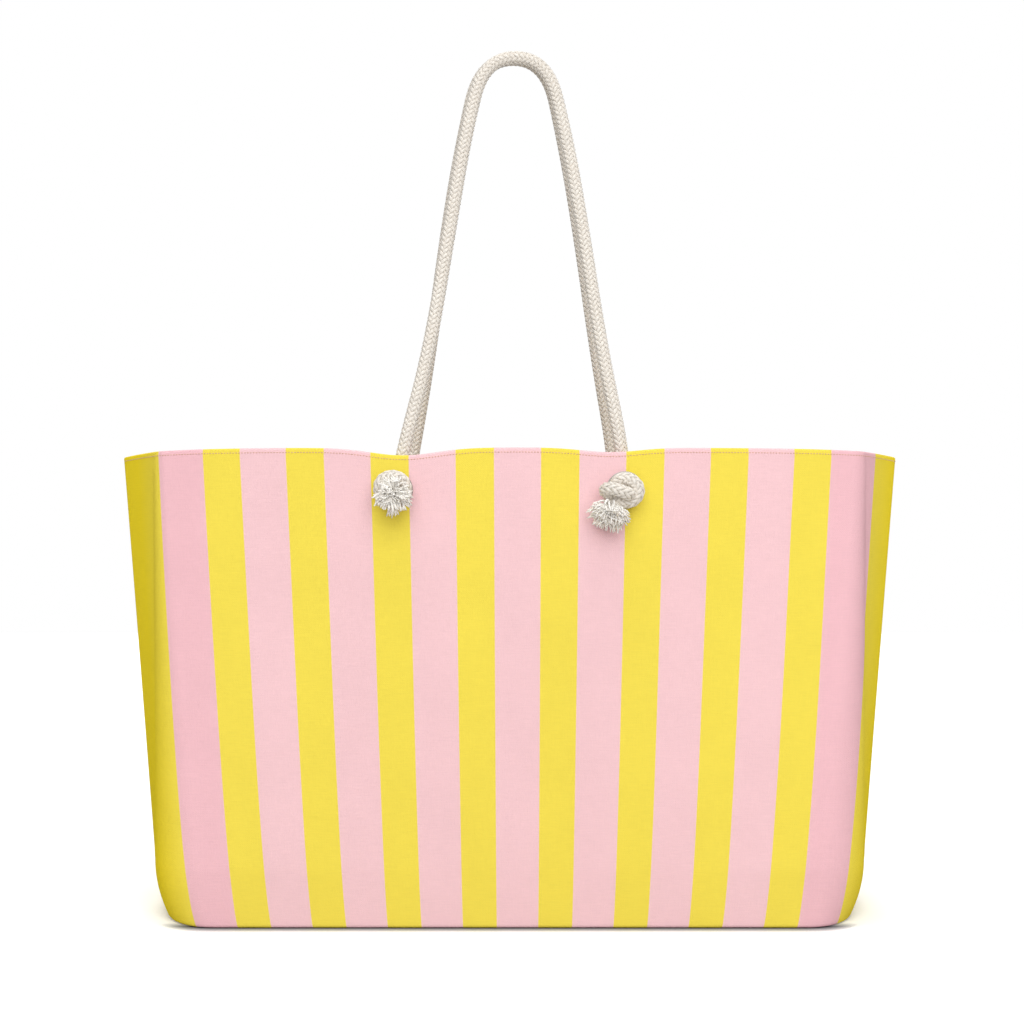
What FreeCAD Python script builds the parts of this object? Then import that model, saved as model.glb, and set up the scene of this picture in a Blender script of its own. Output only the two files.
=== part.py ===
import FreeCAD, Part
import math
import os
import sys
import Sketcher
from FreeCAD import Placement, Rotation, Vector

# A soft, open-topped weekender bag: two canvas halves sewn together up the sides and along the
# middle of a boxed base, a stiff interlining and a lining inside them, a turned and topstitched
# rim, and two rope handles. Each rope goes through two eyelets and ends outside in a knot.
# Millimetres. The origin is the middle of the base, +X along the bag, -Y its front, +Z up.

# Driving sizes: name, value, what it is.
DRIVING = (
    ("base_half_width", 250.0, "base, middle to side"),
    ("base_half_depth", 73.0, "base, middle to front"),
    ("base_corner_radius", 45.0, "base outline, corner radius"),
    ("belly_height", 40.0, "height at which the sides have filled out"),
    ("belly_flare", 11.0, "how much further out the sides are there than at the base"),
    ("belly_rounding", 3.0, "how much larger the corner radius is there"),
    ("rim_height", 326.0, "floor to the top edge"),
    ("rim_half_width", 284.0, "rim, middle to side seam"),
    ("rim_half_depth", 66.0, "rim, middle to front at the centre"),
    ("rim_gusset", 34.0, "side seam to crease at the rim, along the bag"),
    ("rim_bow", 22.0, "how far the front bows out between the creases at the rim"),
    ("crease_setback", 5.0, "crease at the rim, length that is rounded"),
    ("crease_radius", 13.0, "crease at the rim, rounding"),
    ("outer_cloth", 1.0, "canvas"),
    ("interlining_cloth", 0.6, "stiff interlining"),
    ("lining_cloth", 0.7, "lining"),
    ("layer_gap", 0.25, "room between two layers"),
    ("facing_depth", 35.0, "canvas facing inside the rim"),
    ("board_thickness", 2.0, "base board"),
    ("board_margin", 8.0, "room round the base board"),
    ("pocket_half_width", 90.0, "slip pocket inside the back"),
    ("pocket_top", 262.0, "slip pocket, upper edge"),
    ("pocket_bottom", 130.0, "slip pocket, lower edge"),
    ("label_width", 22.0, "blank care label, seam to free edge"),
    ("label_height", 18.0, "blank care label"),
    ("label_thickness", 0.5, "blank care label, folded double"),
    ("label_drop", 62.0, "rim to the label's lower edge"),
    ("thread_width", 0.6, "topstitching"),
    ("thread_proud", 0.3, "topstitching, how far it stands out"),
    ("topstitch_drop", 3.0, "rim to the topstitching"),
    ("eyelet_along", 80.0, "bag's middle to an eyelet"),
    ("eyelet_drop", 24.0, "rim to an eyelet's middle"),
    ("rope_radius", 5.0, "rope"),
    ("rope_room", 1.5, "room round the rope in an eyelet"),
    ("eyelet_wall", 0.7, "eyelet, wall of the barrel"),
    ("eyelet_flange", 13.0, "eyelet, radius of the flange"),
    ("eyelet_sheet", 0.8, "eyelet and washer, thickness of the sheet"),
    ("eyelet_room", 0.3, "room round and under an eyelet"),
    ("knot_half_width", 16.5, "knot, half its width"),
    ("knot_half_height", 13.5, "knot, half its height"),
    ("knot_half_depth", 13.5, "knot, half its depth"),
    ("tassel_neck", 5.5, "frayed end, radius at the knot"),
    ("tassel_spread", 13.0, "frayed end, radius at its tip"),
    ("tassel_length", 19.0, "frayed end, length"),
)

# The inner side of the rim's crease and side seam moves in by these shares of a layer's inset.
SEAM_SHARE = 1.25
CREASE_ALONG_SHARE = 0.5
CREASE_OUT_SHARE = 0.9
# From the crease, its rounding runs this way along the side and this way along the front.
SIDE_RUN = (0.6, 0.8)
FRONT_RUN = (1.0, 0.17)

doc = FreeCAD.newDocument("WeekenderBag")
sheet = doc.addObject("Spreadsheet::Sheet", "Sizes")
for row, (alias, value, note) in enumerate(DRIVING, start=1):
    sheet.set("A%d" % row, note)
    sheet.set("B%d" % row, str(value))
    sheet.setAlias("B%d" % row, alias)
doc.recompute()


class Length:
    """A length as a number, with the formula over the spreadsheet that gives it."""

    def __init__(self, value, formula):
        self.value = value
        self.formula = formula

    def __add__(self, other):
        other = as_length(other)
        return Length(self.value + other.value, "(%s + %s)" % (self.formula, other.formula))

    def __sub__(self, other):
        other = as_length(other)
        return Length(self.value - other.value, "(%s - %s)" % (self.formula, other.formula))

    def __mul__(self, other):
        other = as_length(other)
        return Length(self.value * other.value, "(%s * %s)" % (self.formula, other.formula))

    def __truediv__(self, other):
        other = as_length(other)
        return Length(self.value / other.value, "(%s / %s)" % (self.formula, other.formula))


def as_length(thing):
    """A plain number becomes a Length whose formula is that number."""
    if isinstance(thing, Length):
        return thing
    return Length(float(thing), "(%r)" % float(thing))


def size(alias):
    """A driving size, read from the spreadsheet."""
    return Length(float(sheet.get(alias)), "Sizes." + alias)


# Sizes that follow from the driving ones.
ZERO = as_length(0)
BELLY_HALF_WIDTH = size("base_half_width") + size("belly_flare")
BELLY_CORNER_RADIUS = size("base_corner_radius") + size("belly_rounding")
CREASE_ALONG = size("rim_half_width") - size("rim_gusset")
CREASE_OUT = size("rim_half_depth") - size("rim_bow")
EYELET_BORE = size("rope_radius") + size("rope_room")
EYELET_BARREL = EYELET_BORE + size("eyelet_wall")
EYELET_HEIGHT = size("rim_height") - size("eyelet_drop")
GAP = size("layer_gap")
INTERLINING_INSET = size("outer_cloth") + GAP
LINING_INSET = INTERLINING_INSET + size("interlining_cloth") + GAP
CLOTH_STACK = LINING_INSET + size("lining_cloth")
BOARD_FLOOR = LINING_INSET
LINING_FLOOR = BOARD_FLOOR + size("board_thickness") + GAP
FACING_LOW = size("rim_height") - size("facing_depth")

FRONT = 1
BACK = -1
SUBPARTS = []


def keep(thing, label):
    """Name a finished sub-part; its label is also the name of its file."""
    thing.Label = label
    SUBPARTS.append(thing)
    return thing


def turned(side):
    """The back half is the front half turned round the vertical axis."""
    return Placement(Vector(), Rotation(Vector(0, 0, 1), 0 if side == FRONT else 180))


# ---------------------------------------------------------------- sketches

def new_sketch(body, name, role, lift=ZERO):
    """A sketch on one of the body's own planes, lifted along that plane's normal."""
    sketch = body.newObject("Sketcher::SketchObject", name)
    planes = [feature for feature in body.Origin.OriginFeatures if feature.Role == role]
    sketch.AttachmentSupport = (planes[0], [""])
    sketch.MapMode = "FlatFace"
    sketch.AttachmentOffset = Placement(Vector(0, 0, lift.value), Rotation())
    sketch.setExpression("AttachmentOffset.Base.z", lift.formula)
    return sketch


def dimension(sketch, name, length, kind, *where):
    """A named dimension that follows the spreadsheet."""
    index = sketch.addConstraint(Sketcher.Constraint(kind, *where, length.value))
    sketch.renameConstraint(index, name)
    sketch.setExpression("Constraints." + name, length.formula)


def chain(sketch, edges):
    """Add edges that follow each other round a closed outline."""
    first = sketch.GeometryCount
    for edge in edges:
        sketch.addGeometry(edge, False)
    count = len(edges)
    for step in range(count):
        following = first + (step + 1) % count
        sketch.addConstraint(Sketcher.Constraint("Coincident", first + step, 2, following, 1))
    return first


def arc_between(start, end, radius):
    """An arc that turns left on its way from start to end."""
    chord = end - start
    middle = (start + end) * 0.5
    sagitta = radius - math.sqrt(radius ** 2 - (chord.Length / 2) ** 2)
    outward = Vector(chord.y, -chord.x, 0).normalize()
    return Part.Arc(start, middle + outward * sagitta, end)


def half_outline(sketch, seam, side_end, front_end, corner_radius, front_radius=None):
    """Front half of a level outline: side, corner, front, corner, side and a line along y = 0.

    seam is the distance from the middle to the side seam. side_end and front_end are the two
    ends of the corner, as (distance along the bag, distance to the front)."""
    right = [Vector(seam.value, 0, 0)]
    right.append(Vector(side_end[0].value, -side_end[1].value, 0))
    right.append(Vector(front_end[0].value, -front_end[1].value, 0))
    left = [Vector(-point.x, point.y, 0) for point in right]
    if front_radius is None:
        front = Part.LineSegment(left[2], right[2])
    else:
        front = arc_between(left[2], right[2], front_radius.value)
    chain(sketch, [
        Part.LineSegment(left[0], left[1]),
        arc_between(left[1], left[2], corner_radius.value),
        front,
        arc_between(right[2], right[1], corner_radius.value),
        Part.LineSegment(right[1], right[0]),
        Part.LineSegment(right[0], left[0]),
    ])
    left_side, left_corner, front_edge, right_corner, right_side = range(5)
    origin = (-1, 1)
    for near, far in (((left_side, 1), (right_side, 2)), ((left_side, 2), (right_side, 1)),
                      ((left_corner, 2), (right_corner, 1))):
        sketch.addConstraint(Sketcher.Constraint("Symmetric", *near, *far, -2))
    sketch.addConstraint(Sketcher.Constraint("PointOnObject", right_side, 2, -1))
    dimension(sketch, "seam", seam, "DistanceX", *origin, right_side, 2)
    dimension(sketch, "side_end_along", side_end[0], "DistanceX", *origin, right_side, 1)
    dimension(sketch, "side_end_out", side_end[1], "DistanceY", right_side, 1, *origin)
    dimension(sketch, "front_end_along", front_end[0], "DistanceX", *origin, right_corner, 1)
    dimension(sketch, "front_end_out", front_end[1], "DistanceY", right_corner, 1, *origin)
    sketch.addConstraint(Sketcher.Constraint("Equal", left_corner, right_corner))
    dimension(sketch, "corner_radius", corner_radius, "Radius", right_corner)
    if front_radius is not None:
        dimension(sketch, "front_radius", front_radius, "Radius", front_edge)


def boxed_outline(sketch, half_width, half_depth, radius, inset):
    """The outline low down: a rectangle with round corners, moved in by inset."""
    half_outline(sketch, half_width - inset,
                 (half_width - inset, half_depth - radius),
                 (half_width - radius, half_depth - inset),
                 radius - inset)


def rim_outline(sketch, inset):
    """The outline of the rim: a bowed front and a side that slants in to it at a crease."""
    seam = size("rim_half_width") - inset * SEAM_SHARE
    along = CREASE_ALONG - inset * CREASE_ALONG_SHARE
    out = CREASE_OUT - inset * CREASE_OUT_SHARE
    setback = size("crease_setback")
    side_end = (along + setback * SIDE_RUN[0], out - setback * SIDE_RUN[1])
    front_end = (along - setback * FRONT_RUN[0], out + setback * FRONT_RUN[1])
    bow = size("rim_half_depth") - inset - front_end[1]
    front_radius = (front_end[0] * front_end[0] + bow * bow) / (bow * 2)
    half_outline(sketch, seam, side_end, front_end, size("crease_radius"), front_radius)


def rectangle(sketch, name, left, right, low, high):
    """A rectangle between two distances across and two distances up."""
    corners = [Vector(left.value, low.value, 0), Vector(right.value, low.value, 0),
               Vector(right.value, high.value, 0), Vector(left.value, high.value, 0)]
    edges = [Part.LineSegment(corners[step], corners[(step + 1) % 4]) for step in range(4)]
    bottom = chain(sketch, edges)
    for step, kind in enumerate(("Horizontal", "Vertical", "Horizontal", "Vertical")):
        sketch.addConstraint(Sketcher.Constraint(kind, bottom + step))
    dimension(sketch, name + "_left", left, "DistanceX", -1, 1, bottom, 1)
    dimension(sketch, name + "_right", right, "DistanceX", -1, 1, bottom + 1, 1)
    dimension(sketch, name + "_low", low, "DistanceY", -1, 1, bottom, 1)
    dimension(sketch, name + "_high", high, "DistanceY", -1, 1, bottom + 2, 1)


def circle(sketch, name, along, up, radius):
    """A circle at a distance across and up."""
    middle = Vector(along.value, up.value, 0)
    index = sketch.addGeometry(Part.Circle(middle, Vector(0, 0, 1), radius.value), False)
    dimension(sketch, name + "_radius", radius, "Radius", index)
    for axis, place in (("X", along), ("Y", up)):
        if place is ZERO:
            on_axis = -2 if axis == "X" else -1
            sketch.addConstraint(Sketcher.Constraint("PointOnObject", index, 3, on_axis))
        else:
            dimension(sketch, name + "_" + axis, place, "Distance" + axis, -1, 1, index, 3)


# ---------------------------------------------------------------- cloth

def loft_of(body, kind, name, inset, floor):
    """A loft from the base outline, through the belly, to the rim, moved in by inset."""
    levels = []
    for level, height in (("Base", floor), ("Belly", size("belly_height")),
                          ("Rim", size("rim_height"))):
        sketch = new_sketch(body, name + level, "XY_Plane", height)
        if level == "Base":
            boxed_outline(sketch, size("base_half_width"), size("base_half_depth"),
                          size("base_corner_radius"), inset)
        elif level == "Belly":
            boxed_outline(sketch, BELLY_HALF_WIDTH, size("base_half_depth"),
                          BELLY_CORNER_RADIUS, inset)
        else:
            rim_outline(sketch, inset)
        levels.append(sketch)
    loft = body.newObject("PartDesign::" + kind, name)
    loft.Profile = levels[0]
    loft.Sections = levels[1:]
    loft.Ruled = True
    return loft


def cut_through(body, sketch):
    """Cut a sketch on the upright plane right through the body, front and back of the plane."""
    pocket = body.newObject("PartDesign::Pocket", sketch.Name + "Cut")
    pocket.Profile = sketch
    pocket.Type = "ThroughAll"
    pocket.Midplane = True
    doc.recompute()
    return pocket


def cloth_layer(label, side, outer_inset, thickness, floor):
    """One layer of one half of the bag: a wall and half of a base, open at the top."""
    body = doc.addObject("PartDesign::Body", label)
    loft_of(body, "AdditiveLoft", "Form", outer_inset, floor)
    loft_of(body, "SubtractiveLoft", "Hollow", outer_inset + thickness, floor + thickness)
    body.Placement = turned(side)
    doc.recompute()
    return keep(body, label)


def crop_height(body, low=None, high=None):
    """Keep only what lies between two heights."""
    reach = size("rim_half_width") * 1.2
    beyond = size("rim_height") * 1.2
    below = size("rim_height") * -0.2
    if high is not None:
        sketch = new_sketch(body, "Above", "XZ_Plane")
        rectangle(sketch, "above", reach * -1, reach, high, beyond)
        cut_through(body, sketch)
    if low is not None:
        sketch = new_sketch(body, "Below", "XZ_Plane")
        rectangle(sketch, "below", reach * -1, reach, below, low)
        cut_through(body, sketch)


def punch_eyelets(body):
    """Two round holes for the eyelets, with room for their barrels."""
    sketch = new_sketch(body, "EyeletHoles", "XZ_Plane")
    radius = EYELET_BARREL + size("eyelet_room")
    circle(sketch, "right", size("eyelet_along"), EYELET_HEIGHT, radius)
    circle(sketch, "left", size("eyelet_along") * -1, EYELET_HEIGHT, radius)
    cut_through(body, sketch)


for side, word in ((FRONT, "front"), (BACK, "back")):
    panel = cloth_layer(word + "_panel", side, ZERO, size("outer_cloth"), ZERO)
    punch_eyelets(panel)

    interlining = cloth_layer(word + "_interlining", side, INTERLINING_INSET,
                              size("interlining_cloth"), INTERLINING_INSET)
    crop_height(interlining, high=size("rim_height") - size("topstitch_drop") * 0.5)
    punch_eyelets(interlining)

    lining = cloth_layer(word + "_lining", side, LINING_INSET, size("lining_cloth"),
                         LINING_FLOOR)
    crop_height(lining, high=FACING_LOW - GAP)

    facing = cloth_layer(word + "_rim_facing", side, LINING_INSET, size("lining_cloth"),
                         LINING_FLOOR)
    crop_height(facing, low=FACING_LOW)
    punch_eyelets(facing)

    stitches = cloth_layer(word + "_rim_topstitching", side,
                           (size("thread_proud") + GAP * 0.2) * -1, size("thread_proud"), ZERO)
    stitch_middle = size("rim_height") - size("topstitch_drop")
    crop_height(stitches, low=stitch_middle - size("thread_width") * 0.5,
                high=stitch_middle + size("thread_width") * 0.5)

# The slip pocket is a patch of lining cloth that lies on the back lining.
pocket = cloth_layer("inner_pocket", BACK, CLOTH_STACK + GAP, size("lining_cloth"), LINING_FLOOR)
patch = new_sketch(pocket, "Patch", "XZ_Plane")
rectangle(patch, "outside", size("rim_half_width") * -1.2, size("rim_half_width") * 1.2,
          size("rim_height") * -0.2, size("rim_height") * 1.2)
rectangle(patch, "patch", size("pocket_half_width") * -1, size("pocket_half_width"),
          size("pocket_bottom"), size("pocket_top"))
cut_through(pocket, patch)

# ---------------------------------------------------------------- base board and label

board = doc.addObject("PartDesign::Body", "base_board")
for half in (FRONT, BACK):
    outline = new_sketch(board, "Outline%s" % ("Front" if half == FRONT else "Back"),
                         "XY_Plane", BOARD_FLOOR)
    boxed_outline(outline, size("base_half_width"), size("base_half_depth"),
                  size("base_corner_radius"), size("board_margin"))
    if half == BACK:
        outline.AttachmentOffset = Placement(Vector(0, 0, BOARD_FLOOR.value),
                                             Rotation(Vector(0, 0, 1), 180))
    pad = board.newObject("PartDesign::Pad", "Plate" + ("Front" if half == FRONT else "Back"))
    pad.Profile = outline
    pad.setExpression("Length", size("board_thickness").formula)
    doc.recompute()
keep(board, "base_board")


def seam_at(height):
    """Half width of the bag at the side seam, at a height above the belly."""
    share = ((height - size("belly_height"))
             / (size("rim_height") - size("belly_height")))
    return BELLY_HALF_WIDTH + (size("rim_half_width") - BELLY_HALF_WIDTH) * share


label_low = size("rim_height") - size("label_drop")
label = doc.addObject("Part::Box", "care_label")
label.setExpression("Length", size("label_width").formula)
label.setExpression("Width", size("label_thickness").formula)
label.setExpression("Height", size("label_height").formula)
label_reach = seam_at(label_low) - CLOTH_STACK * SEAM_SHARE - GAP
label.setExpression("Placement.Base.x", (label_reach * -1).formula)
label.setExpression("Placement.Base.y", (size("label_thickness") * -0.5).formula)
label.setExpression("Placement.Base.z", label_low.formula)
keep(label, "care_label")


# ---------------------------------------------------------------- eyelets

def front_face(along, height):
    """The point of the outer canvas at a distance along the bag and a height.

    The wall is straight from the belly to the rim, where the front is an arc of a circle."""
    low_end = (BELLY_HALF_WIDTH - BELLY_CORNER_RADIUS).value
    high_end = (CREASE_ALONG - size("crease_setback")).value
    share = ((height - size("belly_height").value)
             / (size("rim_height").value - size("belly_height").value))
    station = along / (low_end * (1 - share) + high_end * share)
    bow = (size("rim_bow") - size("crease_setback") * FRONT_RUN[1]).value
    radius = (high_end ** 2 + bow ** 2) / (2 * bow)
    at_rim = station * high_end
    rim_out = size("rim_half_depth").value - radius + math.sqrt(radius ** 2 - at_rim ** 2)
    out = size("base_half_depth").value * (1 - share) + rim_out * share
    return Vector(along, -out, height)


def eyelet_placement(side, along):
    """An eyelet stands on the outer canvas, with its axis along the canvas's normal."""
    height = EYELET_HEIGHT.value
    step = size("eyelet_flange").value
    spot = front_face(along, height)
    across = front_face(along + step, height) - front_face(along - step, height)
    upward = front_face(along, height + step) - front_face(along, height - step)
    normal = across.cross(upward).normalize()
    return turned(side) * Placement(spot, Rotation(Vector(0, 0, 1), normal))


def make_eyelet(label, placement):
    """A turned ring: a flange on the canvas and a barrel through all the layers."""
    body = doc.addObject("PartDesign::Body", label)
    profile = new_sketch(body, "Profile", "XZ_Plane")
    flange = size("eyelet_flange")
    under = size("eyelet_room")
    top = under + size("eyelet_sheet")
    foot = (CLOTH_STACK + size("eyelet_room") + size("eyelet_sheet") * 1.5) * -1
    around = [(EYELET_BORE, foot), (EYELET_BARREL, foot), (EYELET_BARREL, under),
              (flange, under), (flange, top), (EYELET_BORE, top)]
    corners = [Vector(reach.value, up.value, 0) for reach, up in around]
    count = len(corners)
    chain(profile, [Part.LineSegment(corners[step], corners[(step + 1) % count])
                    for step in range(count)])
    for step, (reach, up) in enumerate(around):
        dimension(profile, "reach%d" % step, reach, "DistanceX", -1, 1, step, 1)
        dimension(profile, "up%d" % step, up, "DistanceY", -1, 1, step, 1)
    ring = body.newObject("PartDesign::Revolution", "Ring")
    ring.Profile = profile
    ring.ReferenceAxis = (profile, ["V_Axis"])
    ring.Angle = 360
    body.Placement = placement
    return keep(body, label)


def make_washer(label, placement):
    """The flat ring that the eyelet is closed on, inside the rim facing."""
    body = doc.addObject("PartDesign::Body", label)
    face = (CLOTH_STACK + size("eyelet_room") + size("eyelet_sheet")) * -1
    rings = new_sketch(body, "Rings", "XY_Plane", face)
    circle(rings, "outside", ZERO, ZERO, size("eyelet_flange"))
    circle(rings, "hole", ZERO, ZERO, EYELET_BARREL + GAP * 0.2)
    pad = body.newObject("PartDesign::Pad", "Ring")
    pad.Profile = rings
    pad.setExpression("Length", size("eyelet_sheet").formula)
    body.Placement = placement
    return keep(body, label)


# ---------------------------------------------------------------- ropes

# Each route starts in the left knot, goes in through the eyelet, up inside the rim, over the
# top and down to the right knot. Heights are above the rim. The two handles lean together.
FRONT_ROUTE = (
    (-80.0, -75.0, -24.0), (-80.0, -52.0, -24.0), (-75.5, -55.0, 8.0), (-58.5, -43.0, 76.0),
    (-43.5, -25.5, 174.0), (-32.5, -15.3, 234.0), (-18.5, -5.6, 293.0), (26.0, -5.6, 293.0),
    (38.5, -15.3, 234.0), (48.5, -25.5, 174.0), (63.5, -43.0, 76.0), (78.0, -55.0, 8.0),
    (80.0, -52.0, -24.0), (80.0, -75.0, -24.0),
)
BACK_ROUTE = (
    (-80.0, 75.0, -24.0), (-80.0, 52.0, -24.0), (-73.5, 55.0, 8.0), (-61.5, 43.0, 76.0),
    (-47.0, 25.5, 174.0), (-36.0, 15.3, 234.0), (-21.5, 5.6, 292.0), (26.5, 5.6, 292.0),
    (40.5, 15.3, 234.0), (51.5, 25.5, 174.0), (66.5, 43.0, 76.0), (79.0, 55.0, 8.0),
    (80.0, 52.0, -24.0), (80.0, 75.0, -24.0),
)
ARC_SHARE = 0.45
# The handle folds where the rope's fourth bend starts, counted from either knot.
FOLD_BEND = 3
FOLD_GAP = 0.4


def rounded_path(points):
    """Straight runs joined by tangent arcs; gives the edges and the radius at each point."""
    edges = []
    radii = []
    here = points[0]
    for before, corner, after in zip(points, points[1:], points[2:]):
        shorter = min((corner - before).Length, (after - corner).Length)
        back = (before - corner).normalize()
        ahead = (after - corner).normalize()
        half_turn = (math.pi - back.getAngle(ahead)) / 2
        reach = ARC_SHARE * shorter
        radius = reach / math.tan(half_turn)
        start = corner + back * reach
        end = corner + ahead * reach
        inward = (back + ahead).normalize()
        middle = corner + inward * (radius / math.cos(half_turn) - radius)
        edges.append(Part.LineSegment(here, start).toShape())
        edges.append(Part.Arc(start, middle, end).toShape())
        radii.append(radius)
        here = end
    edges.append(Part.LineSegment(here, points[-1]).toShape())
    return edges, radii


def rope_tube(edges):
    """A round rope along edges that follow each other, with its own length for a check."""
    path = Part.Wire(edges)
    start = edges[0].valueAt(edges[0].FirstParameter)
    along = edges[0].tangentAt(edges[0].FirstParameter)
    radius = size("rope_radius").value
    section = Part.Wire(Part.Circle(start, along, radius).toShape())
    tube = path.makePipeShell([section], True, False)
    expected = math.pi * radius ** 2 * path.Length
    share = tube.Volume / expected
    if abs(share - 1) > 0.01:
        print("rope volume is off:", round(share, 4))
    return tube, path.Length


def make_rope(label, edges):
    """One stretch of rope, placed so that heights count from the rim."""
    tube, length = rope_tube(edges)
    feature = doc.addObject("Part::Feature", label)
    feature.Shape = tube
    feature.Placement = Placement(Vector(0, 0, size("rim_height").value), Rotation())
    print(label, "length", round(length, 1))
    return keep(feature, label)


def shortened(edge, gap_length, at_start):
    """A straight edge with a little taken off one end."""
    first, last = edge.Vertexes[0].Point, edge.Vertexes[-1].Point
    along = (last - first).normalize()
    if at_start:
        first = first + along * gap_length
    else:
        last = last - along * gap_length
    return Part.LineSegment(first, last).toShape()


def make_handle(word, route):
    """A rope in three stretches: a leg from each knot, and the loop that folds between them."""
    points = [Vector(*point) for point in route]
    edges, radii = rounded_path(points)
    runs = [(b - a).Length for a, b in zip(points, points[1:])]
    print(word, "rope runs", [round(run) for run in runs])
    print(word, "rope radii", [round(radius) for radius in radii])
    # Edges alternate run, bend, run; the loop starts with the last of the run below the fold.
    first = 2 * (FOLD_BEND - 1)
    last = len(edges) - 1 - first
    left_run, right_run = edges[first], edges[last]
    left_leg = edges[:first] + [shortened(left_run, FOLD_GAP, False)]
    right_leg = [shortened(right_run, FOLD_GAP, True)] + edges[last + 1:]
    make_rope(word + "_left_leg", left_leg)
    make_rope(word + "_right_leg", right_leg)
    make_rope(word + "_handle", edges[first + 1:last])
    fold = left_run.Vertexes[-1].Point + Vector(0, 0, size("rim_height").value)
    other = right_run.Vertexes[0].Point + Vector(0, 0, size("rim_height").value)
    print(word, "fold at", [round(v, 2) for v in fold], "and", [round(v, 2) for v in other])


def make_knot(label, middle):
    """The knot stands against the eyelet; the rope's end is tied inside it."""
    knot = doc.addObject("Part::Ellipsoid", label)
    knot.setExpression("Radius1", size("knot_half_height").formula)
    knot.setExpression("Radius2", size("knot_half_width").formula)
    knot.setExpression("Radius3", size("knot_half_depth").formula)
    knot.Placement = Placement(middle, Rotation())
    return keep(knot, label)


def make_tassel(label, neck, direction):
    """The frayed end spreads from the knot."""
    tassel = doc.addObject("Part::Cone", label)
    tassel.setExpression("Radius1", size("tassel_neck").formula)
    tassel.setExpression("Radius2", size("tassel_spread").formula)
    tassel.setExpression("Height", size("tassel_length").formula)
    tassel.Placement = Placement(neck, Rotation(Vector(0, 0, 1), direction))
    return keep(tassel, label)


make_handle("front", FRONT_ROUTE)
make_handle("back", BACK_ROUTE)

# One frayed end faces outwards, the other hangs down and to the middle.
FACING_OUT = Vector(0.1, -0.75, -0.65)
HANGING = Vector(-0.45, -0.35, -0.82)
for side, word in ((FRONT, "front"), (BACK, "back")):
    for along, place, lean in ((-1, "left", FACING_OUT), (1, "right", HANGING)):
        if side == BACK:
            place = "right" if place == "left" else "left"
        reach = along * size("eyelet_along").value
        stand = eyelet_placement(side, reach)
        make_eyelet("%s_%s_eyelet" % (word, place), stand)
        make_washer("%s_%s_washer" % (word, place), stand)
        off = (size("eyelet_room").value * 2 + size("eyelet_sheet").value
               + size("knot_half_depth").value)
        knot_middle = stand.multVec(Vector(0, 0, off))
        make_knot("%s_%s_knot" % (word, place), knot_middle)
        direction = turned(side).Rotation.multVec(lean)
        neck = knot_middle + direction * (size("knot_half_height").value * 0.4)
        make_tassel("%s_%s_frayed_end" % (word, place), neck, direction)

# ---------------------------------------------------------------- check and write

doc.recompute()
faults = []
for thing in doc.Objects:
    if "Invalid" in thing.State or "Error" in thing.State:
        faults.append("%s: %s" % (thing.Name, thing.State))
for subpart in SUBPARTS:
    if subpart.Shape.isNull() or not subpart.Shape.isValid():
        faults.append("%s has no valid shape" % subpart.Label)
if faults:
    print("\n".join(faults))
    sys.exit("some features failed")

os.makedirs("parts", exist_ok=True)
for subpart in SUBPARTS:
    box = subpart.Shape.BoundBox
    print("%-24s solids %d volume %9.0f  z %.1f to %.1f" % (
        subpart.Label, len(subpart.Shape.Solids), subpart.Shape.Volume, box.ZMin, box.ZMax))
    subpart.Shape.exportStep("parts/%s.step" % subpart.Label)
print(len(SUBPARTS), "sub-parts")
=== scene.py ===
# %% [markdown]
# # A striped weekender bag with rope handles
# The bag is two halves of striped canvas, sewn up the sides and along the middle of the base. Inside
# are a stiffener, a lining, a facing round the rim, a slip pocket, a base board and a blank label. Two
# braided cotton ropes go through four eyelets and end outside in knots with frayed ends. The packed
# model holds the sizes and the motion; this script gives every piece its look, in metres.

# %% The frame
import bmesh
import bpy
import numpy as np
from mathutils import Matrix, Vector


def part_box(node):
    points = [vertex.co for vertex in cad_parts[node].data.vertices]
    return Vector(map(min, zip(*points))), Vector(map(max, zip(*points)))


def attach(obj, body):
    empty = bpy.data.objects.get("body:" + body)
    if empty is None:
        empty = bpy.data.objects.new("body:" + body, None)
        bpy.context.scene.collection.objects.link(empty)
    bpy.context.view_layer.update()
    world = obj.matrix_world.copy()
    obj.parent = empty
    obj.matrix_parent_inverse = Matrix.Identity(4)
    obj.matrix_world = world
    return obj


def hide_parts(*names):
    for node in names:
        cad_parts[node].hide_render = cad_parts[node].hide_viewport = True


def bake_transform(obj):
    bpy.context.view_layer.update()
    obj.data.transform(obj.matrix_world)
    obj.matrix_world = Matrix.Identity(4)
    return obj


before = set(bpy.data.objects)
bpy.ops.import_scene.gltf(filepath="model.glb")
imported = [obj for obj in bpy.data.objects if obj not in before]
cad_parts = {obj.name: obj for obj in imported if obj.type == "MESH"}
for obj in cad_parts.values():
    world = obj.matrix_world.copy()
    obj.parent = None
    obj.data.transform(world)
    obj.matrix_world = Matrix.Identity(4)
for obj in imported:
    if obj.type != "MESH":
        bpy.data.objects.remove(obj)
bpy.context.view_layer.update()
MM = 0.001

# %% [markdown]
# ## Camera, light and floor
# The bag is seen straight from the front, from a little above its middle, with a short telephoto lens
# that keeps the side seams almost upright. A large soft light stands in front and above, a weaker one
# behind, the sky fills the shadows evenly, and a wide light overhead keeps the pale floor bright.

# %% Camera
CAMERA_PLACE = (0.0017, -1.173, 0.2868)
LENS_MM = 56.13

camera_data = bpy.data.cameras.new("camera")
camera_data.lens = LENS_MM
camera_data.sensor_width = 36.0
camera = bpy.data.objects.new("camera", camera_data)
camera.location = CAMERA_PLACE
camera.rotation_euler = (np.radians(90), 0, 0)
bpy.context.collection.objects.link(camera)
bpy.context.scene.camera = camera
bpy.context.scene.view_settings.view_transform = "Standard"
print("camera at", CAMERA_PLACE)

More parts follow.
